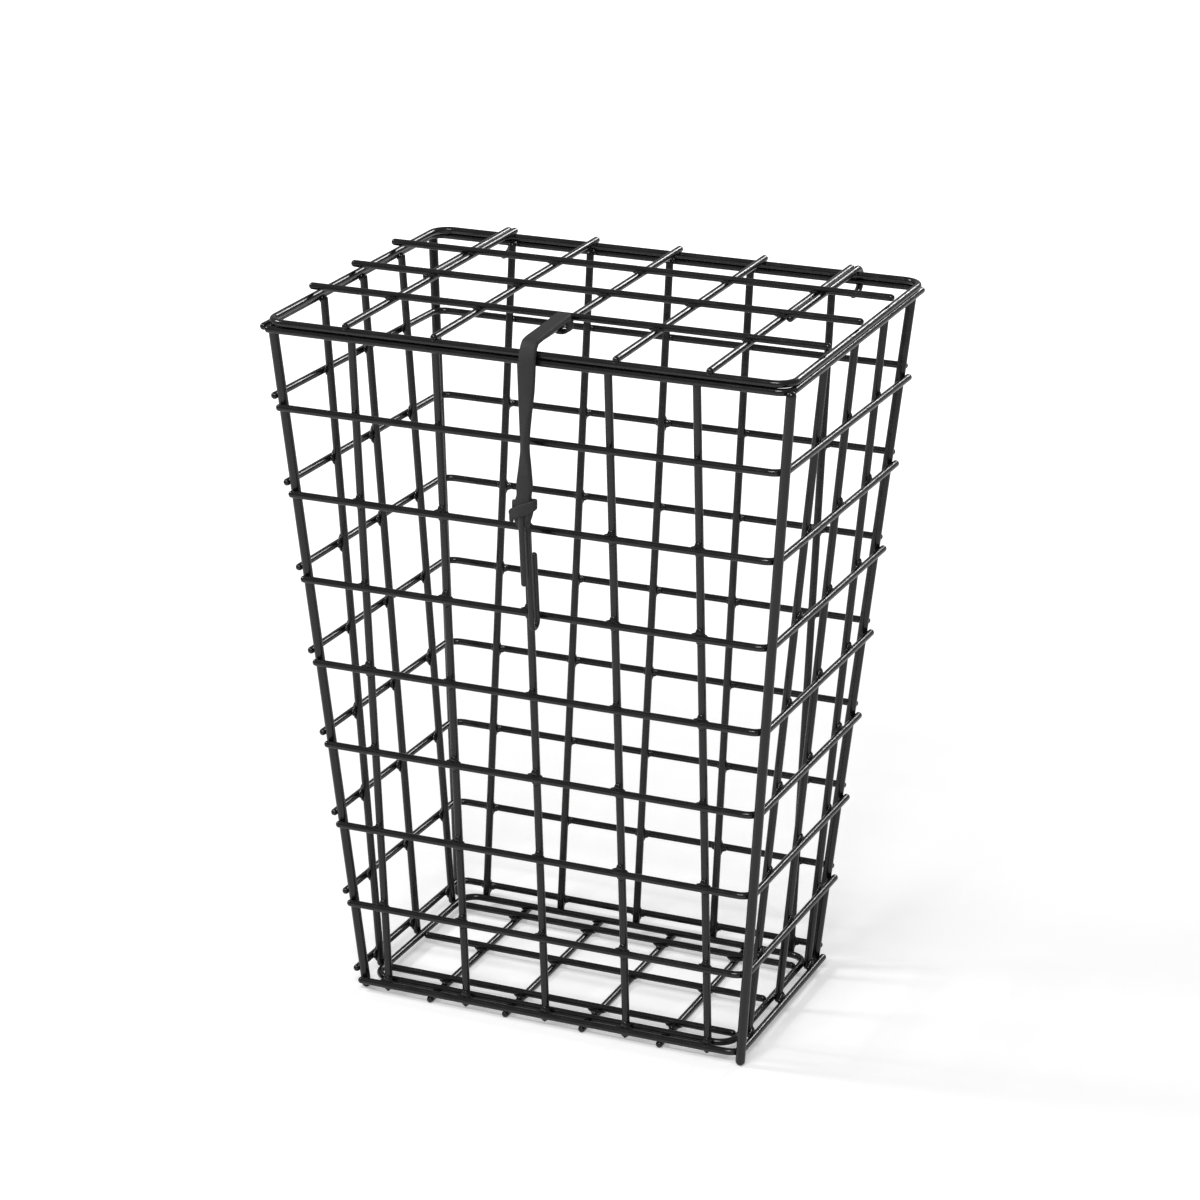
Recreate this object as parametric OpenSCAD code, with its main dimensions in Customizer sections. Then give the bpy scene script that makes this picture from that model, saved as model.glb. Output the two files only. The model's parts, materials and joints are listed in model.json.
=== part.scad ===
// Tapered wire cage with a wire lid, a rubber closing strap and an S-hook.
// Every wire is welded steel with a black plastic coat; each size is the coated one, in millimetres.
// +Z up, -Y is the front, and the origin lies on the floor under the middle of the base.

/* [Cage] */
// Distance between the upright planes of the left and right panels, at the rim
rim_w = 226; // [200:1:280]
// Distance between the upright planes of the front and back panels, at the rim
rim_d = 162; // [130:1:210]
// The same distance between the left and right panels, at the base
base_w = 177; // [162:1:240]
// The same distance between the front and back panels, at the base
base_d = 105; // [96:1:170]
// How far the middle of the rim lies in front of the middle of the base
rim_forward = 3; // [0:0.5:12]
// Height from one row of level wires to the next
row_pitch = 38.6; // [25:0.1:60]
// Height of the top row, between the first full row and the rim
rim_gap = 34.3; // [22:0.1:60]
// How far the back rows lie above the front rows, so that they pass each other at two corners
row_step = 4; // [3.5:0.1:8]
// Fall of the rim and lid from the back to the front, in degrees
rim_slope = 1.4; // [0:0.1:4]
// Spacing of the uprights of every panel
upright_pitch = 38.1; // [20:0.1:42]
// How far the uprights of the side panels are set back from the middle
side_set_back = 2.3; // [-5:0.1:5]

/* [Wire] */
// Coated diameter of the level wires, and of the base and lid wires
wire_d = 3.1; // [2.2:0.1:3.8]
// Coated diameter of the uprights
upright_d = 3.4; // [2.4:0.1:4.4]
// Coated diameter of the four corner posts
post_d = 4.2; // [3:0.1:6]
// Centre-line radius of the bend of each level wire
bend_r = 6; // [4:0.5:12]
// How far a level wire runs on past the middle of the post that it ends on
wire_tail = 0.2; // [0:0.1:6]
// Gap left where two coats touch
touch = 0.05; // [0.03:0.01:0.2]

/* [Base] */
// Spacing of the base wires that run from front to back
base_pitch_x = 36.5; // [20:0.1:44]
// Spacing of the base wires that run from side to side
base_pitch_y = 38; // [18:0.1:42]
// Centre-line radius of the corners of the base frame
base_corner_r = 8; // [5:0.5:20]

/* [Lid] */
// Spacing of the lid wires, both ways
lid_pitch = 40; // [20:0.1:42]
// How far the front-to-back lid wires lie to the right of the middle
lid_shift = 3; // [-6:0.1:6]
// How far the lid frame stands out past the rim wire at each side
lid_overlap = -1.5; // [-3:0.1:3]
// How far the middle of the lid frame lies to the right of the middle of the cage
lid_frame_shift = 1.5; // [-3:0.1:3]
// How far the back wire of the lid frame lies in front of the rim wire that it turns on
lid_inset = 1.5; // [0:0.1:4]
// Centre-line radius of the corners of the lid frame
lid_corner_r = 8; // [6:0.5:25]
// How far two lid wires are pressed into each other where they are welded
weld_sink = 1; // [0.2:0.1:1.3]
// How far the front-to-back lid wires run on past the frame, at the hinge
lid_tail = 2.5; // [0.5:0.1:3]
// Length of the short leg of each hinge hook, under the rim wire
hinge_leg = 4; // [1:0.5:5]

/* [Strap and S-hook] */
// Width of the rubber strap
strap_w = 7.5; // [5:0.1:10]
// Thickness of the doubled strap
strap_t = 3.6; // [2:0.1:5]
// Room between the strap and the wires that it passes
rubber_gap = 0.3; // [0.3:0.05:0.6]
// How far the strap lies to the right of the middle
strap_x = 6; // [0:0.1:12]
// Length of the strap from the lid's edge to the pin in its knot
strap_drop = 66.5; // [45:0.5:75]
// How far the knot hangs in front of the point where the strap bends over the lid's edge
strap_lean = 2.5; // [0:0.1:5]
// Width of the knot above the S-hook
knot_w = 10; // [8:0.5:14]
// Thickness of the knot, from front to back
knot_t = 8; // [6:0.5:10]
// Height of the knot
knot_h = 13; // [10:0.5:18]
// Diameter of the loop of rubber that runs through the S-hook
loop_d = 2.4; // [1.5:0.1:2.6]
// Wire diameter of the S-hook
hook_d = 2.5; // [1.5:0.1:3.2]
// Distance between two legs of the S-hook, centre to centre
hook_gap = 5.6; // [5.2:0.1:9]
// Distance between the centres of the S-hook's two bends
hook_len = 50; // [30:0.5:58]
// Length of each open leg of the S-hook
hook_leg = 29; // [10:0.5:40]
// Lean of the S-hook towards the cage, in degrees
hook_lean = 7; // [0:0.5:7.5]

/* [Hidden] */
$fn = 48;
ROWS = 8;

wire_r = wire_d / 2;
upright_r = upright_d / 2;
post_r = post_d / 2;
wire_step = wire_d + touch;

// Heights: the base runners lie on the floor, with the base frame and the lowest row on them.
runner_z = wire_r;
base_z = runner_z + wire_step;
rim_z = base_z + (ROWS - 1) * row_pitch + rim_gap;
function row_z(row) = base_z + (row - 1) * row_pitch;

// The panels' upright planes lean outwards, so each plane is a straight line against height.
function share(z) = (z - base_z) / (rim_z - base_z);
function side_at(z) = base_w / 2 + share(z) * (rim_w - base_w) / 2;
function front_at(z) = -(base_d / 2 + share(z) * (rim_d - base_d) / 2) - share(z) * rim_forward;
function back_at(z) = base_d / 2 + share(z) * (rim_d - base_d) / 2 - share(z) * rim_forward;
rise = rim_z - base_z;
side_run = (rim_w - base_w) / 2;
front_run = (rim_d - base_d) / 2 + rim_forward;
back_run = (rim_d - base_d) / 2 - rim_forward;
// Level distance from an upright's centre to the centre of a level wire that touches it
function stand_off(run) = (upright_r + wire_r + touch) * norm([run, rise]) / rise;
side_off = stand_off(side_run);
front_off = stand_off(front_run);
back_off = stand_off(back_run);

// A level wire's place on each panel, at the height of its own centre, to a hundredth of a millimetre
function neat(v) = round(v * 100) / 100;
function wire_side(z) = neat(side_at(z) + side_off);
function wire_front(z) = neat(front_at(z) - front_off);
function wire_back(z) = neat(back_at(z) + back_off);

// The middles of the two posts that stand inside the wires
inner_shift = post_r - upright_r;
function post_side(z) = neat(side_at(z) - inner_shift);
function post_front(z) = neat(front_at(z) + inner_shift);
function post_back(z) = neat(back_at(z) - inner_shift);

// The rim lies in a plane that rises from the front wire to the back wire.
rim_front = wire_front(rim_z);
rim_back_guess = wire_back(rim_z);
rim_back_z = rim_z + (rim_back_guess - rim_front) * tan(rim_slope);
rim_back = wire_back(rim_back_z);
rim_run = neat((rim_back - rim_front) / cos(rim_slope));
rim_side = wire_side(rim_back_z);
function rim_top(y) = rim_z + (y - rim_front) * tan(rim_slope) + wire_r - touch;

// Two posts stand outside the bends of the level wires.
bend_reach = (bend_r + (post_r + wire_r + touch) * norm([side_run, front_run, rise]) / rise) / sqrt(2);
outer_shift = bend_reach - bend_r + rim_side - wire_side(rim_z);
post_foot_z = post_r;

// Lid sizes, in the lid's own plane, measured from the rim wire that it turns on
lid_left = lid_frame_shift - rim_side - lid_overlap;
lid_right = lid_frame_shift + rim_side + lid_overlap;
lid_z = wire_step;
lid_runner_z = lid_z + wire_d - weld_sink;
lid_side_z = lid_runner_z + wire_d - weld_sink;
lid_front = -rim_run;
lid_back = -lid_inset;
lid_mid = neat((lid_front + lid_back) / 2);
hinge_hook_r = lid_runner_z;

// The strap bends at a point just in front of the lid's front wire, level with it.
strap_bend = [strap_x, lid_front - wire_r - rubber_gap - strap_t / 2, lid_z];
hitch_wall = strap_t / 2;
hitch_room = wire_r + rubber_gap;

black = "#1d1d1f";
satin = "#2b2b2d";

// Half of a straight wire's outline, turned into a solid: h long, round at its foot and, if asked, at its tip
module turned_wire(h, d, round_tip) {
    r = d / 2;
    rotate_extrude() {
        square([r, h]);
        intersection() {
            circle(d = d);
            translate([0, -r]) square([r, r]);
        }
        if (round_tip) {
            intersection() {
                translate([0, h]) circle(d = d);
                translate([0, h]) square([r, r]);
            }
        }
    }
}

// Stands a wire of length norm(to - from) on the first point, pointing at the second
module along(from, to) {
    v = to - from;
    translate(from) rotate([0, acos(v.z / norm(v)), atan2(v.y, v.x)]) children();
}

// A straight wire between two points, with rounded ends
module rod(from, to, d) {
    along(from, to) turned_wire(norm(to - from), d, true);
}

// A straight wire that is round at the first point and flat at the second, where a bend goes on
module end_rod(from, to, d) {
    along(from, to) turned_wire(norm(to - from), d, false);
}

// A straight wire with flat ends
module bare_rod(from, to, d) {
    along(from, to) cylinder(h = norm(to - from), d = d);
}

// A bend in the XY plane round the point c, from one angle on through a turn
module bend(c, r, d, from, turn) {
    translate(c) rotate([0, 0, from]) rotate_extrude(angle = turn) translate([r, 0]) circle(d = d);
}

// A level wire with one square corner, on the lines x = side and y = end; the corner is bent to bend_r.
module corner_wire(side, end, from_x, to_y) {
    sx = sign(side);
    sy = sign(end - to_y);
    end_rod([from_x, end, 0], [side - sx * bend_r, end, 0], wire_d);
    bend([side - sx * bend_r, end - sy * bend_r, 0], bend_r, wire_d, sx > 0 ? -90 : 90, 90);
    end_rod([side, to_y, 0], [side, end - sy * bend_r, 0], wire_d);
}

// One row of the front and right panels
module front_right_band(row) {
    z = row_z(row);
    color(black) translate([0, 0, z])
        corner_wire(wire_side(z), wire_front(z), -post_side(z) - wire_tail, post_back(z) + wire_tail);
}

// One row of the back and left panels, which lies a little higher
module back_left_band(row) {
    z = row_z(row) + row_step;
    color(black) translate([0, 0, z])
        corner_wire(-wire_side(z), wire_back(z), post_side(z) + wire_tail, post_front(z) - wire_tail);
}

// Places things in the plane of the rim, measured from the rim's front wire
module on_rim() {
    translate([0, rim_front, rim_z]) rotate([rim_slope, 0, 0]) children();
}

// The rim's front and right wire, which stops against its back wire
module front_right_rim_wire() {
    color(black) on_rim()
        corner_wire(rim_side, 0, -post_side(rim_z) - wire_tail, rim_run - wire_step);
}

// The rim's back and left wire, which stops against its front wire
module back_left_rim_wire() {
    color(black) on_rim()
        corner_wire(-rim_side, rim_run, post_side(rim_back_z) + wire_tail, wire_step);
}

// The four posts' centre lines against height
function front_left_at(z) = [-post_side(z), post_front(z), z];
function back_right_at(z) = [post_side(z), post_back(z), z];
function front_right_at(z) = [wire_side(z) + outer_shift, wire_front(z) - outer_shift, z];
function back_left_at(z) = [-wire_side(z) - outer_shift, wire_back(z) + outer_shift, z];
front_post_top = rim_top(front_at(rim_z)) - post_r - touch;
back_post_top = rim_top(back_at(rim_back_z)) - post_r - touch;

// The corner posts stand on the floor and end level with the top of the rim.
module front_left_post() {
    color(black) rod(front_left_at(post_foot_z), front_left_at(front_post_top), post_d);
}
module front_right_post() {
    color(black) rod(front_right_at(post_foot_z), front_right_at(front_post_top), post_d);
}
module back_left_post() {
    color(black) rod(back_left_at(post_foot_z), back_left_at(back_post_top), post_d);
}
module back_right_post() {
    color(black) rod(back_right_at(post_foot_z), back_right_at(back_post_top), post_d);
}

// Uprights run from the lowest row to the rim; those of one panel stay parallel.
upright_foot = base_z + upright_r - wire_r;
module front_upright(n) {
    x = (n - 3) * upright_pitch;
    top = rim_top(front_at(rim_z)) - upright_r - touch;
    color(black) rod([x, front_at(upright_foot), upright_foot], [x, front_at(top), top], upright_d);
}
module back_upright(n) {
    x = (n - 3) * upright_pitch;
    top = rim_top(back_at(rim_back_z)) - upright_r - touch;
    color(black) rod([x, back_at(upright_foot), upright_foot], [x, back_at(top), top], upright_d);
}
module side_upright(n, side) {
    y = (n - 2) * upright_pitch + side_set_back;
    top = rim_top(y) - upright_r - touch;
    color(black)
        rod([side * side_at(upright_foot), y, upright_foot], [side * side_at(top), y, top], upright_d);
}

// Base: a frame inside the lowest row, side wires across it and runners under it
base_half_w = neat(side_at(base_z) - upright_r - wire_r - touch);
base_front = neat(front_at(base_z) + upright_r + wire_r + touch);
base_back = neat(back_at(base_z) - upright_r - wire_r - touch);

// A closed frame of wire with four bent corners
module wire_frame(left, right, front, back, r) {
    bare_rod([left + r, front, 0], [right - r, front, 0], wire_d);
    bare_rod([left + r, back, 0], [right - r, back, 0], wire_d);
    bare_rod([left, front + r, 0], [left, back - r, 0], wire_d);
    bare_rod([right, front + r, 0], [right, back - r, 0], wire_d);
    bend([left + r, front + r, 0], r, wire_d, 180, 90);
    bend([right - r, front + r, 0], r, wire_d, 270, 90);
    bend([right - r, back - r, 0], r, wire_d, 0, 90);
    bend([left + r, back - r, 0], r, wire_d, 90, 90);
}

module base_frame() {
    color(black) translate([0, 0, base_z])
        wire_frame(-base_half_w, base_half_w, base_front, base_back, base_corner_r);
}
module base_side_wire(n) {
    y = (base_front + base_back) / 2 + (n - 2) * base_pitch_y;
    reach = base_half_w - wire_step;
    color(black) rod([-reach, y, base_z], [reach, y, base_z], wire_d);
}
module base_runner(n) {
    x = (n - 2.5) * base_pitch_x;
    color(black)
        rod([x, wire_front(base_z) + wire_r / 2, runner_z], [x, wire_back(base_z) - wire_r / 2, runner_z],
            wire_d);
}

// Places lid parts in the lid's plane, measured from the rim wire that the lid turns on
module on_lid() {
    on_rim() translate([0, rim_run, 0]) children();
}

module lid_frame() {
    color(black) on_lid() translate([0, 0, lid_z])
        wire_frame(lid_left, lid_right, lid_front, lid_back, lid_corner_r);
}
module lid_side_wire(n) {
    y = lid_mid + (n - 2) * lid_pitch;
    color(black) on_lid()
        rod([lid_left - wire_r / 2, y, lid_side_z], [lid_right, y, lid_side_z], wire_d);
}
function lid_runner_x(n) = lid_shift + (n - 3) * lid_pitch;
module lid_runner(n) {
    x = lid_runner_x(n);
    color(black) on_lid()
        rod([x, lid_front, lid_runner_z], [x, lid_back + lid_tail, lid_runner_z], wire_d);
}

// A hook that lies beside an outer lid runner, runs over the frame and turns back under the rim wire
module hinge_hook(x) {
    color(black) on_lid() translate([x, 0, 0]) {
        end_rod([0, lid_mid, hinge_hook_r], [0, 0, hinge_hook_r], wire_d);
        rotate([90, 0, 90]) bend([0, 0, 0], hinge_hook_r, wire_d, -90, 180);
        end_rod([0, -hinge_leg, -hinge_hook_r], [0, 0, -hinge_hook_r], wire_d);
    }
}
module hinge_hook_left() { hinge_hook(lid_runner_x(1) - wire_step); }
module hinge_hook_right() { hinge_hook(lid_runner_x(5) + wire_step); }

// The strap's run on the lid: a hitch round the middle runner, and a flat run to the lid's edge
hitch_y = lid_mid - lid_pitch - wire_r - rubber_gap - strap_w / 2;
hitch_x = lid_runner_x(3);
run_low = lid_runner_z + wire_r + rubber_gap;
run_top = run_low + strap_t;
module run_edge() {
    translate([strap_x - strap_w / 2, lid_front - wire_r - rubber_gap, run_low])
        cube([strap_w, rubber_gap, strap_t]);
}
module strap_run() {
    hitch_half = hitch_room + hitch_wall;
    color(satin) on_lid() {
        difference() {
            translate([hitch_x - hitch_half, hitch_y - strap_w / 2, lid_runner_z - hitch_half])
                cube([2 * hitch_half, strap_w, run_top - lid_runner_z + hitch_half]);
            translate([hitch_x - hitch_room, hitch_y - strap_w / 2 - 1, lid_runner_z - hitch_room])
                cube([2 * hitch_room, strap_w + 2, 2 * hitch_room]);
        }
        hull() {
            translate([hitch_x - strap_w / 2, hitch_y - strap_w / 2, run_low])
                cube([strap_w, strap_w, strap_t]);
            run_edge();
        }
        hull() {
            run_edge();
            translate(strap_bend + [-strap_w / 2, -strap_t / 4, strap_t / 2 + rubber_gap])
                cube([strap_w, strap_t / 2, 0.5]);
        }
    }
}

// Where the strap bends and where its knot hangs, in the part's own frame
bend_at = [strap_x,
    rim_front + (rim_run + strap_bend.y) * cos(rim_slope) - strap_bend.z * sin(rim_slope),
    rim_z + (rim_run + strap_bend.y) * sin(rim_slope) + strap_bend.z * cos(rim_slope)];
knot_at = bend_at - [0, strap_lean, strap_drop];

// The hanging part of the strap: a doubled band, a knot slotted for the S-hook, and the rubber through it
module strap_tail() {
    slot_w = hook_d + 2 * rubber_gap;
    slot_top = hook_gap / 2 + hook_d / 2 + rubber_gap;
    neck = knot_at + [0, 0, slot_top + knot_t / 2];
    color(satin) {
        hull() {
            translate(bend_at - [strap_w / 2, 0, 0]) rotate([0, 90, 0]) cylinder(h = strap_w, d = strap_t);
            translate(neck - [strap_w / 2, 0, 0]) rotate([0, 90, 0]) cylinder(h = strap_w, d = strap_t);
        }
        difference() {
            translate(knot_at + [-knot_w / 2, -knot_t / 2, slot_top + knot_t / 2 - knot_h])
                cube([knot_w, knot_t, knot_h]);
            translate(knot_at + [-slot_w / 2, -knot_t, slot_top - 2 * knot_h])
                cube([slot_w, 2 * knot_t, 2 * knot_h]);
        }
        translate(knot_at - [knot_w / 2, 0, 0]) rotate([0, 90, 0]) cylinder(h = knot_w, d = loop_d);
    }
}

// The S-hook: three legs in one plane, joined by two half-round bends; its upper bend hangs on the strap.
module s_hook() {
    color(satin) translate(knot_at) rotate([hook_lean, 0, 0]) rotate([90, 0, 90]) rotate([0, 0, 90]) {
        bend([0, 0, 0], hook_gap / 2, hook_d, -90, 180);
        end_rod([-hook_leg, hook_gap / 2, 0], [0, hook_gap / 2, 0], hook_d);
        bare_rod([0, -hook_gap / 2, 0], [-hook_len, -hook_gap / 2, 0], hook_d);
        bend([-hook_len, -hook_gap, 0], hook_gap / 2, hook_d, 90, 180);
        end_rod([-hook_len + hook_leg, -1.5 * hook_gap, 0], [-hook_len, -1.5 * hook_gap, 0], hook_d);
    }
}

front_right_band(1);  // front_right_band_1
front_right_band(2);  // front_right_band_2
front_right_band(3);  // front_right_band_3
front_right_band(4);  // front_right_band_4
front_right_band(5);  // front_right_band_5
front_right_band(6);  // front_right_band_6
front_right_band(7);  // front_right_band_7
front_right_band(8);  // front_right_band_8
front_right_rim_wire();
back_left_band(1);  // back_left_band_1
back_left_band(2);  // back_left_band_2
back_left_band(3);  // back_left_band_3
back_left_band(4);  // back_left_band_4
back_left_band(5);  // back_left_band_5
back_left_band(6);  // back_left_band_6
back_left_band(7);  // back_left_band_7
back_left_band(8);  // back_left_band_8
back_left_rim_wire();
front_left_post();
front_right_post();
back_left_post();
back_right_post();
front_upright(1);  // front_upright_1
front_upright(2);  // front_upright_2
front_upright(3);  // front_upright_3
front_upright(4);  // front_upright_4
front_upright(5);  // front_upright_5
back_upright(1);  // back_upright_1
back_upright(2);  // back_upright_2
back_upright(3);  // back_upright_3
back_upright(4);  // back_upright_4
back_upright(5);  // back_upright_5
side_upright(1, -1);  // left_upright_1
side_upright(2, -1);  // left_upright_2
side_upright(3, -1);  // left_upright_3
side_upright(1, 1);  // right_upright_1
side_upright(2, 1);  // right_upright_2
side_upright(3, 1);  // right_upright_3
base_frame();
base_side_wire(1);  // base_side_wire_1
base_side_wire(2);  // base_side_wire_2
base_side_wire(3);  // base_side_wire_3
base_runner(1);  // base_runner_1
base_runner(2);  // base_runner_2
base_runner(3);  // base_runner_3
base_runner(4);  // base_runner_4
lid_frame();
lid_side_wire(1);  // lid_side_wire_1
lid_side_wire(2);  // lid_side_wire_2
lid_side_wire(3);  // lid_side_wire_3
lid_runner(1);  // lid_runner_1
lid_runner(2);  // lid_runner_2
lid_runner(3);  // lid_runner_3
lid_runner(4);  // lid_runner_4
lid_runner(5);  // lid_runner_5
hinge_hook_left();
hinge_hook_right();
strap_run();
strap_tail();
s_hook();
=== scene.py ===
import json
import math
import bmesh
import bpy
from mathutils import Matrix, Vector


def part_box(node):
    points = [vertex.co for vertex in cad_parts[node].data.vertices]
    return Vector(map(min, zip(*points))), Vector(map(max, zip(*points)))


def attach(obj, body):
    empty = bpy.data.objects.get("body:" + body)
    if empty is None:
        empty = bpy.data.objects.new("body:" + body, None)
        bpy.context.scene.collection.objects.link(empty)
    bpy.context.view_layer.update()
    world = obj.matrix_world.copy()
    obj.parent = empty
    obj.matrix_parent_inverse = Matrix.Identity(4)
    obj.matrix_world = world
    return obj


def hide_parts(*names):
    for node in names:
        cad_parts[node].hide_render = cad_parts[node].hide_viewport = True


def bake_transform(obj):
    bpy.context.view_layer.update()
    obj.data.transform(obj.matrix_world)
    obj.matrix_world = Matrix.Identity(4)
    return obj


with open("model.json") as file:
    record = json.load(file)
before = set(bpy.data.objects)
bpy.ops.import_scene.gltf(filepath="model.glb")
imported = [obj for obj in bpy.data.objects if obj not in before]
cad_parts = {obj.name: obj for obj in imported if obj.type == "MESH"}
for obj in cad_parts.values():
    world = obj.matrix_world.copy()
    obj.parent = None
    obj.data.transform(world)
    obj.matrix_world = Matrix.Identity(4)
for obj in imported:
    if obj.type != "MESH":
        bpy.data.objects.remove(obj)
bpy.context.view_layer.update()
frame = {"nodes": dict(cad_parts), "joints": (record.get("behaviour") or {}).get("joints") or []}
NODES = frame["nodes"]
MM = 0.001

# ---------------------------------------------------------------- Camera and studio
# A tall cage on a white sweep, seen from a little above and from its front right.
# Large soft lamps stand in for a light tent.
CAMERA_PLACE = (0.5643, -1.3608, 0.6881)
CAMERA_AZIMUTH = 22.476
CAMERA_ELEVATION = 19.041
CAMERA_ROLL = 0.799
LENS = 107.34

lens_data = bpy.data.cameras.new("camera")
lens_data.lens = LENS
lens_data.sensor_width = 36
camera = bpy.data.objects.new("camera", lens_data)
bpy.context.scene.collection.objects.link(camera)
camera.matrix_world = (
    Matrix.Translation(CAMERA_PLACE)
    @ Matrix.Rotation(math.radians(CAMERA_AZIMUTH), 4, "Z")
    @ Matrix.Rotation(math.radians(90 - CAMERA_ELEVATION), 4, "X")
    @ Matrix.Rotation(math.radians(CAMERA_ROLL), 4, "Z")
)
bpy.context.scene.camera = camera
bpy.context.scene.view_settings.view_transform = "Standard"


def linear(hex_colour):
    """An sRGB hex colour as linear red, green, blue and alpha."""
    parts = [int(hex_colour[i:i + 2], 16) / 255 for i in (1, 3, 5)]
    return [p / 12.92 if p <= 0.04045 else ((p + 0.055) / 1.055) ** 2.4 for p in parts] + [1]


def add(tree, kind, settings=None, links=None):
    """Adds a node; settings are its properties or input values, links are inputs fed from other sockets."""
    node = tree.nodes.new(kind)
    for key, value in (settings or {}).items():
        if isinstance(key, str) and hasattr(node, key):
            setattr(node, key, value)
        else:
            node.inputs[key].default_value = value
    for key, socket in (links or {}).items():
        tree.links.new(socket, node.inputs[key])
    return node


def new_material(name):
    """An empty node material: its tree and its Principled shader."""
    material = bpy.data.materials.new(name)
    material.use_nodes = True
    return material, material.node_tree, material.node_tree.nodes["Principled BSDF"]


def soft_lamp(name, place, target, size, watts):
    """A square soft lamp at a place, aimed at a target."""
    data = bpy.data.lights.new(name, "AREA")
    data.shape = "RECTANGLE"
    data.size, data.size_y = size
    data.energy = watts
    lamp = bpy.data.objects.new(name, data)
    bpy.context.scene.collection.objects.link(lamp)
    aim = (Vector(target) - Vector(place)).to_track_quat("-Z", "Y")
    lamp.matrix_world = Matrix.Translation(place) @ aim.to_matrix().to_4x4()
    return lamp


MIDDLE = (0, 0, 0.15)
soft_lamp("lamp_overhead_front", (0.2, -1.5, 1.9), MIDDLE, (0.9, 0.35), 24)
soft_lamp("lamp_high_left", (-1.5, -0.4, 1.5), MIDDLE, (0.4, 0.4), 14)
soft_lamp("lamp_behind", (0.5, 1.9, 1.3), MIDDLE, (0.7, 0.35), 10)

WORLD_LIGHT = 0.3
world = bpy.data.worlds.new("studio_air")
bpy.context.scene.world = world
world.use_nodes = True
sky = world.node_tree
rays = add(sky, "ShaderNodeLightPath")
seen = add(sky, "ShaderNodeMath", {"operation": "ADD"},
           {0: rays.outputs["Is Camera Ray"], 1: rays.outputs["Is Transmission Ray"]})
brightness = add(sky, "ShaderNodeMapRange", {"To Min": WORLD_LIGHT, "To Max": 1.0},
                 {"Value": seen.outputs[0]})
sky.links.new(brightness.outputs[0], sky.nodes["Background"].inputs["Strength"])
sky.nodes["Background"].inputs["Color"].default_value = (1, 1, 1, 1)

# The sweep: matt white paper that shows white to the camera and keeps the cage's soft shadow.
SWEEP_HALF = 6.0
sweep_mesh = bpy.data.meshes.new("paper_sweep")
sweep_mesh.from_pydata(
    [(-SWEEP_HALF, -SWEEP_HALF, 0), (SWEEP_HALF, -SWEEP_HALF, 0),
     (SWEEP_HALF, SWEEP_HALF, 0), (-SWEEP_HALF, SWEEP_HALF, 0)], [], [(0, 1, 2, 3)])
sweep = bpy.data.objects.new("paper_sweep", sweep_mesh)
bpy.context.scene.collection.objects.link(sweep)
paper, paper_tree, paper_shader = new_material("white_paper")
paper_shader.inputs["Base Color"].default_value = linear("#f2f2f2")
paper_shader.inputs["Roughness"].default_value = 0.9
paper_shader.inputs["Specular IOR Level"].default_value = 0.0
paper_rays = add(paper_tree, "ShaderNodeLightPath")
paper_place = add(paper_tree, "ShaderNodeTexCoord")
paper_away = add(paper_tree, "ShaderNodeVectorMath", {"operation": "LENGTH"},
                 {0: paper_place.outputs["Object"]})
paper_fade = add(paper_tree, "ShaderNodeMapRange",
                 {"From Min": 0.35, "From Max": 1.6, "To Min": 0.3, "To Max": 1.0},
                 {"Value": paper_away.outputs["Value"]})
paper_glow = add(paper_tree, "ShaderNodeMath", {"operation": "MULTIPLY"},
                 {0: paper_rays.outputs["Is Camera Ray"], 1: paper_fade.outputs[0]})
paper_shader.inputs["Emission Color"].default_value = (1, 1, 1, 1)
paper_tree.links.new(paper_glow.outputs[0], paper_shader.inputs["Emission Strength"])
sweep_mesh.materials.append(paper)

# ---------------------------------------------------------------- Welded wire
# Bright steel wire, welded where it crosses and then dipped in black PVC.
# The dip leaves a glossy skin that is a little uneven along the wire.
PVC_BLACK = "#0b0b0c"
PVC_THIN = "#121214"
DIP_WAVE = 7.0
DIP_GRAIN = 0.7


def dipped_pvc():
    """Dip-moulded PVC: deep black, with a wet gloss broken by slow thickness waves and a fine peel."""
    material, tree, shader = new_material("dipped_pvc")
    place = add(tree, "ShaderNodeTexCoord")
    wave = add(tree, "ShaderNodeTexNoise", {"Scale": 1 / (DIP_WAVE * MM), "Detail": 2.0},
               {"Vector": place.outputs["Object"]})
    grain = add(tree, "ShaderNodeTexNoise", {"Scale": 1 / (DIP_GRAIN * MM), "Detail": 1.0},
                {"Vector": place.outputs["Object"]})
    tint = add(tree, "ShaderNodeMix", {"data_type": "RGBA", 6: linear(PVC_BLACK), 7: linear(PVC_THIN)},
               {0: wave.outputs["Fac"]})
    gloss = add(tree, "ShaderNodeMapRange",
                {"From Min": 0.3, "From Max": 0.7, "To Min": 0.14, "To Max": 0.26},
                {"Value": wave.outputs["Fac"]})
    peel = add(tree, "ShaderNodeBump", {"Strength": 0.12, "Distance": 0.15 * MM},
               {"Height": grain.outputs["Fac"]})
    swell = add(tree, "ShaderNodeBump", {"Strength": 0.35, "Distance": 0.5 * MM},
                {"Height": wave.outputs["Fac"], "Normal": peel.outputs["Normal"]})
    for socket, output in (("Base Color", tint.outputs[2]), ("Roughness", gloss.outputs[0]),
                           ("Normal", swell.outputs["Normal"])):
        tree.links.new(output, shader.inputs[socket])
    shader.inputs["IOR"].default_value = 1.53
    return material


pvc = dipped_pvc()
WIRES = [name for name in NODES if not name.startswith("strap") and name != "s_hook"]
for name in WIRES:
    mesh = NODES[name].data
    mesh.materials.clear()
    mesh.materials.append(pvc)


# ---------------------------------------------------------------- Weld webs
# Where two wires cross, the dip fills the notch between them with a thin web with four hollow sides.
# One low web is drawn, turned to its two wires and set on each crossing of an upright or a runner.
WEB_REACH = 3.3
WEB_HALF_THICK = 1.15
WEB_STAR = 0.24


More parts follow.
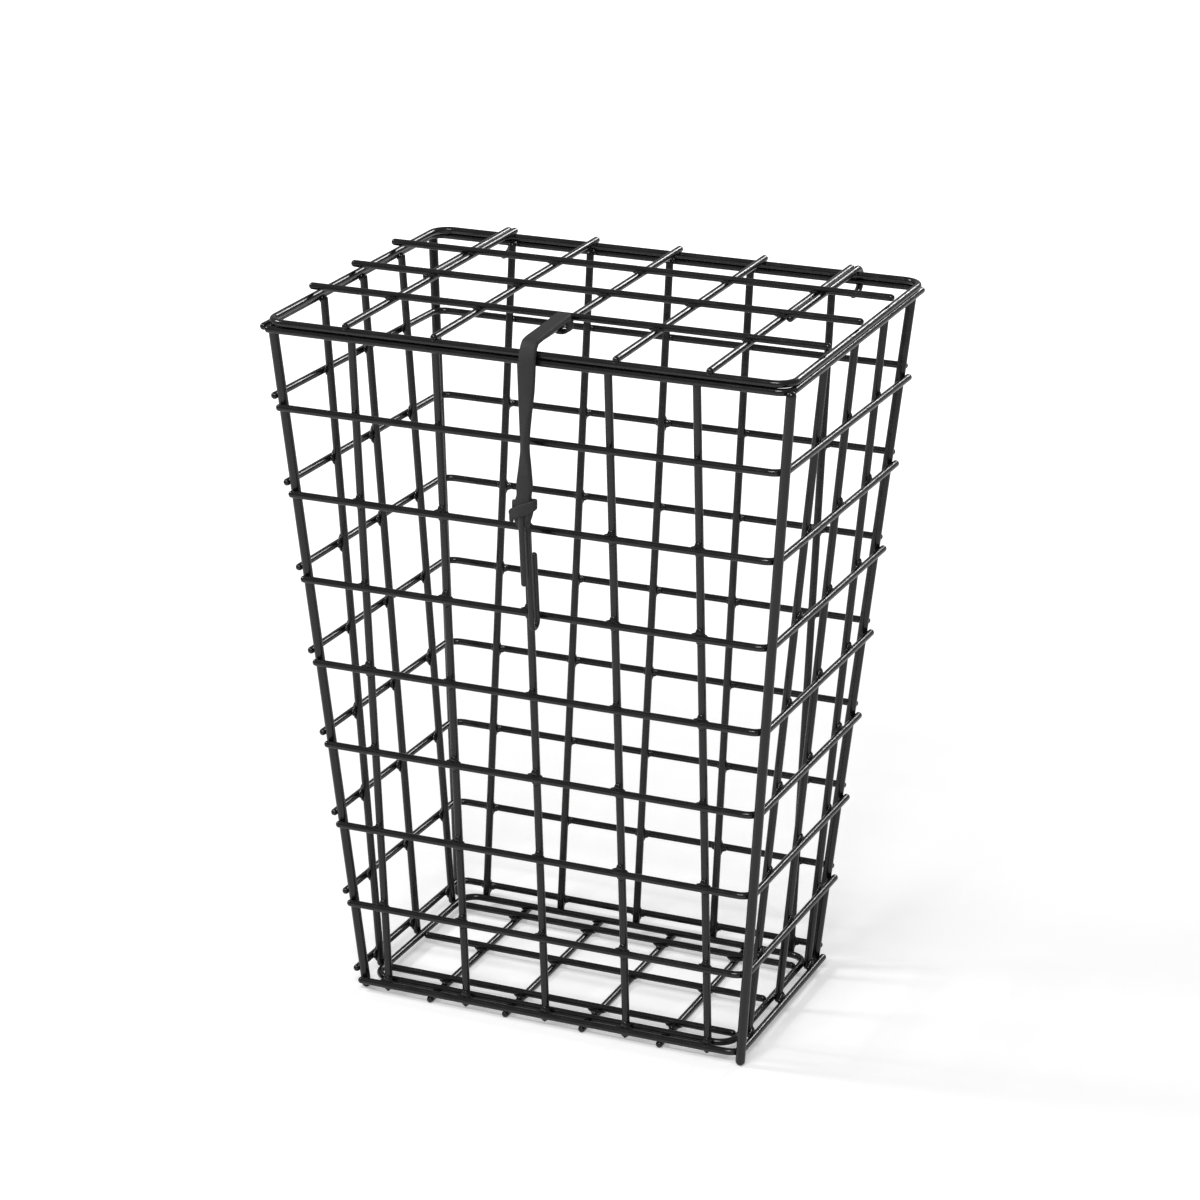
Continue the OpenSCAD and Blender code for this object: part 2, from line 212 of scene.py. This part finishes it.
def line_of(name):
    """The two ends of a straight wire's centre line, lowest first, from its box and its thickness."""
    low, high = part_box(name)
    size = high - low
    radius = min(size) / 2
    ends = [low + Vector((radius,) * 3), high - Vector((radius,) * 3)]
    if name.startswith("front_") and not name.endswith("post"):
        ends[0].y, ends[1].y = ends[1].y, ends[0].y
    if name.startswith("left_"):
        ends[0].x, ends[1].x = ends[1].x, ends[0].x
    return ends


END_WEB = 0.62


def crossing(point_a, way_a, point_b, way_b, size=1.0):
    """The middle of the shortest line between two wires' centre lines, the two ways and the web's size."""
    a, b = way_a.normalized(), way_b.normalized()
    offset = point_b - point_a
    dot = a.dot(b)
    along = (offset.dot(a) - offset.dot(b) * dot) / (1 - dot * dot)
    back = (along * dot - offset.dot(b))
    return (point_a + a * along + point_b + b * back) / 2, a, b, size


def level_wire(name, axis, side):
    """A point on one leg of a bent level wire, and its way. The low leg has side -1, the high one 1."""
    low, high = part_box(name)
    radius = WIRE_RADIUS
    across = 1 - axis
    point = (low + high) / 2
    point[across] = low[across] + radius if side < 0 else high[across] - radius
    way = Vector((0, 0, 0))
    way[axis] = 1
    return point, way


band_low, band_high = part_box("front_right_band_1")
WIRE_RADIUS = (band_high.z - band_low.z) / 2
RIM_SLOPE = math.radians(1.4)


def rim_leg(name, axis, side):
    """The same for a rim or lid-frame wire, which lies in the sloping plane of the rim."""
    point, way = level_wire(name, axis, side)
    low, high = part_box(name)
    if axis == 0:
        point.z = low.z + WIRE_RADIUS if side < 0 else high.z - WIRE_RADIUS
    else:
        way = Vector((0, math.cos(RIM_SLOPE), math.sin(RIM_SLOPE)))
    return point, way


def straight(name):
    """A point on a straight wire, and its way."""
    ends = line_of(name)
    return ends[0], ends[1] - ends[0]


cage_webs = []
lid_webs = []
ROWS = range(1, 9)
PANELS = (
    ("front_upright_{}", range(1, 6), "front_right_band_{}", 0, -1, "front_right_rim_wire"),
    ("back_upright_{}", range(1, 6), "back_left_band_{}", 0, 1, "back_left_rim_wire"),
    ("right_upright_{}", range(1, 4), "front_right_band_{}", 1, 1, "front_right_rim_wire"),
    ("left_upright_{}", range(1, 4), "back_left_band_{}", 1, -1, "back_left_rim_wire"),
)
for upright, numbers, band, axis, side, rim in PANELS:
    for number in numbers:
        up_point, up_way = straight(upright.format(number))
        for row in ROWS:
            size = END_WEB if row == ROWS[-1] else 1.0
            level = level_wire(band.format(row), axis, side)
            cage_webs.append(crossing(up_point, up_way, *level, size=size))
        cage_webs.append(crossing(up_point, up_way, *rim_leg(rim, axis, side), size=END_WEB))
for number in range(1, 5):
    run_point, run_way = straight(f"base_runner_{number}")
    for other in ("base_side_wire_1", "base_side_wire_2", "base_side_wire_3"):
        cage_webs.append(crossing(run_point, run_way, *straight(other)))
    for side in (-1, 1):
        cage_webs.append(crossing(run_point, run_way, *level_wire("base_frame", 0, side), size=END_WEB))
for number in range(1, 6):
    run_low, run_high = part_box(f"lid_runner_{number}")
    run_point = Vector(((run_low.x + run_high.x) / 2, run_low.y + WIRE_RADIUS, run_low.z + WIRE_RADIUS))
    run_way = Vector((0, math.cos(RIM_SLOPE), math.sin(RIM_SLOPE)))
    for other in ("lid_side_wire_1", "lid_side_wire_2", "lid_side_wire_3"):
        lid_webs.append(crossing(run_point, run_way, *straight(other)))
    for side in (-1, 1):
        lid_webs.append(crossing(run_point, run_way, *rim_leg("lid_frame", 0, side), size=END_WEB))


def web_tree():
    """A Geometry Nodes tree that sets one web on each point, turned by the point's own angles."""
    tree = bpy.data.node_groups.new("weld_webs", "GeometryNodeTree")
    face = tree.interface
    face.new_socket("Geometry", in_out="INPUT", socket_type="NodeSocketGeometry")
    for label in ("Reach", "Half thickness", "Star"):
        face.new_socket(label, in_out="INPUT", socket_type="NodeSocketFloat")
    face.new_socket("Coat", in_out="INPUT", socket_type="NodeSocketMaterial")
    face.new_socket("Geometry", in_out="OUTPUT", socket_type="NodeSocketGeometry")
    given = add(tree, "NodeGroupInput")
    ball = add(tree, "GeometryNodeMeshUVSphere", {"Segments": 16, "Rings": 6, "Radius": 1.0})
    place = add(tree, "GeometryNodeInputPosition")
    parts = add(tree, "ShaderNodeSeparateXYZ", None, {0: place.outputs[0]})
    angle = add(tree, "ShaderNodeMath", {"operation": "ARCTAN2"},
                {0: parts.outputs["Y"], 1: parts.outputs["X"]})
    four = add(tree, "ShaderNodeMath", {"operation": "MULTIPLY", 1: 4.0}, {0: angle.outputs[0]})
    swing = add(tree, "ShaderNodeMath", {"operation": "COSINE"}, {0: four.outputs[0]})
    star = add(tree, "ShaderNodeMath", {"operation": "MULTIPLY_ADD", 2: 1.0},
               {0: swing.outputs[0], 1: given.outputs["Star"]})
    out = add(tree, "ShaderNodeMath", {"operation": "MULTIPLY"},
              {0: star.outputs[0], 1: given.outputs["Reach"]})
    x = add(tree, "ShaderNodeMath", {"operation": "MULTIPLY"}, {0: parts.outputs["X"], 1: out.outputs[0]})
    y = add(tree, "ShaderNodeMath", {"operation": "MULTIPLY"}, {0: parts.outputs["Y"], 1: out.outputs[0]})
    z = add(tree, "ShaderNodeMath", {"operation": "MULTIPLY"},
            {0: parts.outputs["Z"], 1: given.outputs["Half thickness"]})
    moved = add(tree, "ShaderNodeCombineXYZ", None, {0: x.outputs[0], 1: y.outputs[0], 2: z.outputs[0]})
    shaped = add(tree, "GeometryNodeSetPosition", None,
                 {"Geometry": ball.outputs["Mesh"], "Position": moved.outputs[0]})
    angles = add(tree, "GeometryNodeInputNamedAttribute", {"data_type": "FLOAT_VECTOR", "Name": "turn"})
    turn = add(tree, "FunctionNodeEulerToRotation", None, {0: angles.outputs["Attribute"]})
    own = add(tree, "GeometryNodeInputNamedAttribute", {"data_type": "FLOAT", "Name": "size"})
    chance = add(tree, "FunctionNodeRandomValue", {"data_type": "FLOAT", 2: 0.85, 3: 1.12, "Seed": 7})
    size = add(tree, "ShaderNodeMath", {"operation": "MULTIPLY"},
               {0: chance.outputs[1], 1: own.outputs["Attribute"]})
    spots = add(tree, "GeometryNodeMeshToPoints", None, {"Mesh": given.outputs["Geometry"]})
    copies = add(tree, "GeometryNodeInstanceOnPoints", None,
                 {"Points": spots.outputs[0], "Instance": shaped.outputs[0],
                  "Rotation": turn.outputs[0], "Scale": size.outputs[0]})
    real = add(tree, "GeometryNodeRealizeInstances", None, {0: copies.outputs[0]})
    smooth = add(tree, "GeometryNodeSetShadeSmooth", None, {0: real.outputs[0]})
    coated = add(tree, "GeometryNodeSetMaterial", None,
                 {"Geometry": smooth.outputs[0], "Material": given.outputs["Coat"]})
    add(tree, "NodeGroupOutput", None, {0: coated.outputs[0]})
    return tree


webs_tree = web_tree()


def web_piece(name, crossings, body):
    """Bakes the webs of one body into a plain mesh that rides on it."""
    spots = bpy.data.meshes.new(name + "_spots")
    spots.from_pydata([tuple(c[0]) for c in crossings], [], [])
    turns = spots.attributes.new("turn", "FLOAT_VECTOR", "POINT")
    for item, spot in zip(turns.data, crossings):
        a, b = spot[1], spot[2]
        normal = a.cross(b).normalized()
        axes = Matrix((a, normal.cross(a), normal)).transposed()
        item.vector = axes.to_euler()
    sizes = spots.attributes.new("size", "FLOAT", "POINT")
    for item, spot in zip(sizes.data, crossings):
        item.value = spot[3]
    carrier = bpy.data.objects.new(name + "_carrier", spots)
    bpy.context.scene.collection.objects.link(carrier)
    modifier = carrier.modifiers.new("webs", "NODES")
    modifier.node_group = webs_tree
    sockets = {i.name: i.identifier for i in webs_tree.interface.items_tree if i.in_out == "INPUT"}
    modifier[sockets["Reach"]] = WEB_REACH * MM
    modifier[sockets["Half thickness"]] = WEB_HALF_THICK * MM
    modifier[sockets["Star"]] = WEB_STAR
    modifier[sockets["Coat"]] = pvc
    evaluated = carrier.evaluated_get(bpy.context.evaluated_depsgraph_get())
    baked = bpy.data.meshes.new_from_object(evaluated)
    bpy.data.objects.remove(carrier)
    piece = bpy.data.objects.new(name, baked)
    bpy.context.scene.collection.objects.link(piece)
    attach(piece, body)
    return piece


web_piece("cage_weld_webs", cage_webs, "cage")
web_piece("lid_weld_webs", lid_webs, "lid")

# ---------------------------------------------------------------- S-hook
# A hook bent from steel wire with a satin black coat, a little uneven in gloss along the wire.
HOOK_DARK = "#19191a"
HOOK_WORN = "#242425"
hook_steel, hook_tree, hook_shader = new_material("satin_black_coated_steel")
hook_place = add(hook_tree, "ShaderNodeTexCoord")
hook_noise = add(hook_tree, "ShaderNodeTexNoise", {"Scale": 1 / (2.0 * MM), "Detail": 3.0},
                 {"Vector": hook_place.outputs["Object"]})
hook_gloss = add(hook_tree, "ShaderNodeMapRange", {"To Min": 0.28, "To Max": 0.48},
                 {"Value": hook_noise.outputs["Fac"]})
hook_bump = add(hook_tree, "ShaderNodeBump", {"Strength": 0.15, "Distance": 0.2 * MM},
                {"Height": hook_noise.outputs["Fac"]})
hook_tint = add(hook_tree, "ShaderNodeMix",
                {"data_type": "RGBA", 6: linear(HOOK_DARK), 7: linear(HOOK_WORN)},
                {0: hook_noise.outputs["Fac"]})
hook_tree.links.new(hook_gloss.outputs[0], hook_shader.inputs["Roughness"])
hook_tree.links.new(hook_bump.outputs["Normal"], hook_shader.inputs["Normal"])
hook_tree.links.new(hook_tint.outputs[2], hook_shader.inputs["Base Color"])
NODES["s_hook"].data.materials.clear()
NODES["s_hook"].data.materials.append(hook_steel)

# ---------------------------------------------------------------- Rubber strap
# A flat rubber band with a turn round the lid's middle runner. It runs over the lid's edge, hangs with a
# slight twist and ends in a knot at the S-hook.
STRAP_WIDTH = 7.2
LAYER = 1.5
LAYER_GAP = 0.25
FLAT_FACE = 0.35
ROUND_EDGE = 0.6


def rubber():
    """Natural black rubber: matt, with a dusty bloom and fine grain from the calender."""
    material, tree, shader = new_material("calendered_rubber")
    place = add(tree, "ShaderNodeTexCoord")
    bloom = add(tree, "ShaderNodeTexNoise", {"Scale": 1 / (5 * MM), "Detail": 4.0},
                {"Vector": place.outputs["Object"]})
    grain = add(tree, "ShaderNodeTexNoise", {"Scale": 1 / (0.5 * MM), "Detail": 2.0},
                {"Vector": place.outputs["Object"]})
    tint = add(tree, "ShaderNodeMix", {"data_type": "RGBA", 6: linear("#202021"), 7: linear("#303031")},
               {0: bloom.outputs["Fac"]})
    rough = add(tree, "ShaderNodeMapRange", {"To Min": 0.55, "To Max": 0.8},
                {"Value": bloom.outputs["Fac"]})
    bump = add(tree, "ShaderNodeBump", {"Strength": 0.25, "Distance": 0.1 * MM},
               {"Height": grain.outputs["Fac"]})
    for socket, output in (("Base Color", tint.outputs[2]), ("Roughness", rough.outputs[0]),
                           ("Normal", bump.outputs["Normal"])):
        tree.links.new(output, shader.inputs[socket])
    return material


strap_rubber = rubber()


def smooth_path(points, steps):
    """A Catmull-Rom line through points of any number of values."""
    line = []
    for i in range(len(points) - 1):
        p0, p1 = points[max(i - 1, 0)], points[i]
        p2, p3 = points[i + 1], points[min(i + 2, len(points) - 1)]
        for k in range(steps):
            t = k / steps
            line.append([
                0.5 * (2 * b + (c - a) * t + (2 * a - 5 * b + 4 * c - d) * t * t
                       + (3 * b - a - 3 * c + d) * t ** 3)
                for a, b, c, d in zip(p0, p1, p2, p3)])
    line.append(list(points[-1]))
    return line


def ribbon(name, stations, across=(1, 0, 0), steps=8, ring=16):
    """A closed band swept through stations, in millimetres.
    A station is (x, y, z, width, thickness, twist in degrees).
    At no twist the band's width lies along the across direction."""
    across = Vector(across)
    rows = smooth_path(stations, steps)
    mesh = bmesh.new()
    rings = []
    for i, row in enumerate(rows):
        here = Vector(row[:3])
        before, after = Vector(rows[max(i - 1, 0)][:3]), Vector(rows[min(i + 1, len(rows) - 1)][:3])
        way = (after - before).normalized()
        flat = (across - way * way.dot(across)).normalized()
        flat.rotate(Matrix.Rotation(math.radians(row[5]), 3, way))
        thick = way.cross(flat)
        loop = []
        for k in range(ring):
            angle = 2 * math.pi * k / ring
            c, s = math.cos(angle), math.sin(angle)
            u = math.copysign(abs(c) ** FLAT_FACE, c) * row[3] / 2
            v = math.copysign(abs(s) ** ROUND_EDGE, s) * row[4] / 2
            loop.append(mesh.verts.new((here + flat * u + thick * v) * MM))
        rings.append(loop)
    for a, b in zip(rings, rings[1:]):
        for k in range(ring):
            mesh.faces.new((a[k], a[(k + 1) % ring], b[(k + 1) % ring], b[k]))
    mesh.faces.new(list(reversed(rings[0])))
    mesh.faces.new(rings[-1])
    bmesh.ops.recalc_face_normals(mesh, faces=mesh.faces)
    data = bpy.data.meshes.new(name)
    mesh.to_mesh(data)
    mesh.free()
    for polygon in data.polygons:
        polygon.use_smooth = True
    data.materials.append(strap_rubber)
    piece = bpy.data.objects.new(name, data)
    bpy.context.scene.collection.objects.link(piece)
    return piece


run_box = [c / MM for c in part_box("strap_run")]
tail_box = [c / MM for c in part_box("strap_tail")]
lift_joint = next(j for j in frame["joints"] if j["name"] == "strap_lift")
swing_joint = next(j for j in frame["joints"] if j["name"] == "hook_swing")
bend = Vector(lift_joint["pos_m"]) / MM
knot = Vector(swing_joint["pos_m"]) / MM
strap_x = bend.x
runner_low, runner_high = [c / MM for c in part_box("lid_runner_3")]
runner_x = (runner_low.x + runner_high.x) / 2
top_z = run_box[1].z
wide = STRAP_WIDTH
thin = 2 * LAYER + LAYER_GAP

# The hitch lies round the lid's middle runner, at the back end of the run.
hitch_y = run_box[1].y - wide / 2
runner_z = runner_low.z + WIRE_RADIUS / MM + (hitch_y - runner_low.y) * math.tan(RIM_SLOPE)

knot_wide = tail_box[1].x - tail_box[0].x
knot_deep = min(knot_wide * 0.6, tail_box[1].y - tail_box[0].y)

# The band from the hitch over the lid's edge down to the knot, with a slight twist on the way.
edge_y = bend.y
main = ribbon("rubber_strap", [
    (runner_x + 0.3, hitch_y + 1.0, top_z - 2.6, wide * 0.92, thin * 1.1, 0),
    (runner_x + 0.9, hitch_y - 4, top_z - 2.3, wide, thin * 0.95, 0),
    (strap_x - 1.2, hitch_y - 16, top_z - 2.5, wide * 0.96, thin * 0.85, 0),
    (strap_x - 0.3, edge_y + 7, top_z - 3.1, wide, thin * 0.85, 0),
    (strap_x, edge_y + 2.2, top_z - 4.2, wide, thin * 0.8, 0),
    (strap_x, edge_y + 0.2, bend.z + 0.6, wide, thin * 0.8, 0),
    (strap_x, edge_y - 0.1, bend.z - 4, wide, thin * 0.85, 0),
    (strap_x - 0.1, edge_y - 0.5, bend.z - 15, wide * 0.96, thin * 0.9, 8),
    (strap_x - 0.3, edge_y - 0.9, bend.z - 27, wide * 0.74, thin * 0.98, 30),
    (strap_x - 0.2, edge_y - 1.2, bend.z - 36, wide * 0.68, thin * 1.0, 52),
    (strap_x, edge_y - 1.6, bend.z - 45, wide * 0.82, thin * 0.9, 25),
    (strap_x, edge_y - 1.9, bend.z - 53, wide * 0.98, thin * 0.95, 6),
    (strap_x, knot.y + 0.1, knot.z + 8.5, wide * 0.86, thin * 1.15, 0),
    (strap_x - 0.3, knot.y, knot.z + 4.5, knot_wide * 0.86, knot_deep * 0.8, 0),
    (strap_x - 0.5, knot.y, knot.z + 0.5, knot_wide * 0.8, knot_deep * 0.85, 0),
    (strap_x - 0.3, knot.y, tail_box[0].z + 0.6, knot_wide * 0.5, knot_deep * 0.6, 0),
])
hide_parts("strap_run", "strap_tail")
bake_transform(main)

# The hitch is one turn of a single layer round the runner. The knot is a turn round the band's own neck,
# with its loose end out to the left.
hitch = ribbon("strap_hitch", [
    (runner_x - 3.4, hitch_y, runner_z - 1.6, wide * 0.8, LAYER, 0),
    (runner_x - 3.1, hitch_y, runner_z + 1.2, wide * 0.86, LAYER, 0),
    (runner_x - 1.2, hitch_y, runner_z + 2.7, wide * 0.9, LAYER, 0),
    (runner_x + 1.2, hitch_y, runner_z + 2.7, wide * 0.9, LAYER, 0),
    (runner_x + 3.1, hitch_y, runner_z + 1.2, wide * 0.86, LAYER, 0),
    (runner_x + 3.4, hitch_y, runner_z - 1.6, wide * 0.8, LAYER, 0),
    (runner_x + 1.4, hitch_y, runner_z - 3.0, wide * 0.8, LAYER, 0),
    (runner_x - 1.4, hitch_y, runner_z - 3.0, wide * 0.8, LAYER, 0),
    (runner_x - 3.2, hitch_y, runner_z - 2.0, wide * 0.8, LAYER, 0),
], across=(0, 1, 0))
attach(hitch, "lid")
turn_x, turn_y = knot_wide / 2 - LAYER / 2, knot_deep / 2
turn = ribbon("strap_knot", [
    (strap_x - turn_x - 1.0, knot.y - turn_y * 0.2, knot.z - 1.5, wide * 0.5, LAYER * 1.2, 0),
    (strap_x - turn_x, knot.y - turn_y * 0.6, knot.z + 1.0, wide * 0.62, LAYER * 1.2, 0),
    (strap_x, knot.y - turn_y, knot.z + 3.2, wide * 0.7, LAYER * 1.2, 0),
    (strap_x + turn_x, knot.y - turn_y * 0.4, knot.z + 5.2, wide * 0.62, LAYER * 1.2, 0),
    (strap_x + turn_x, knot.y + turn_y * 0.5, knot.z + 5.4, wide * 0.6, LAYER * 1.2, 0),
    (strap_x, knot.y + turn_y, knot.z + 4.2, wide * 0.62, LAYER * 1.2, 0),
    (strap_x - turn_x, knot.y + turn_y * 0.4, knot.z + 4.0, wide * 0.6, LAYER * 1.2, 0),
    (strap_x - turn_x * 0.8, knot.y - turn_y * 0.7, knot.z + 5.6, wide * 0.5, LAYER * 1.2, 0),
], across=(0, 0, 1))
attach(turn, "strap")

bpy.context.view_layer.update()
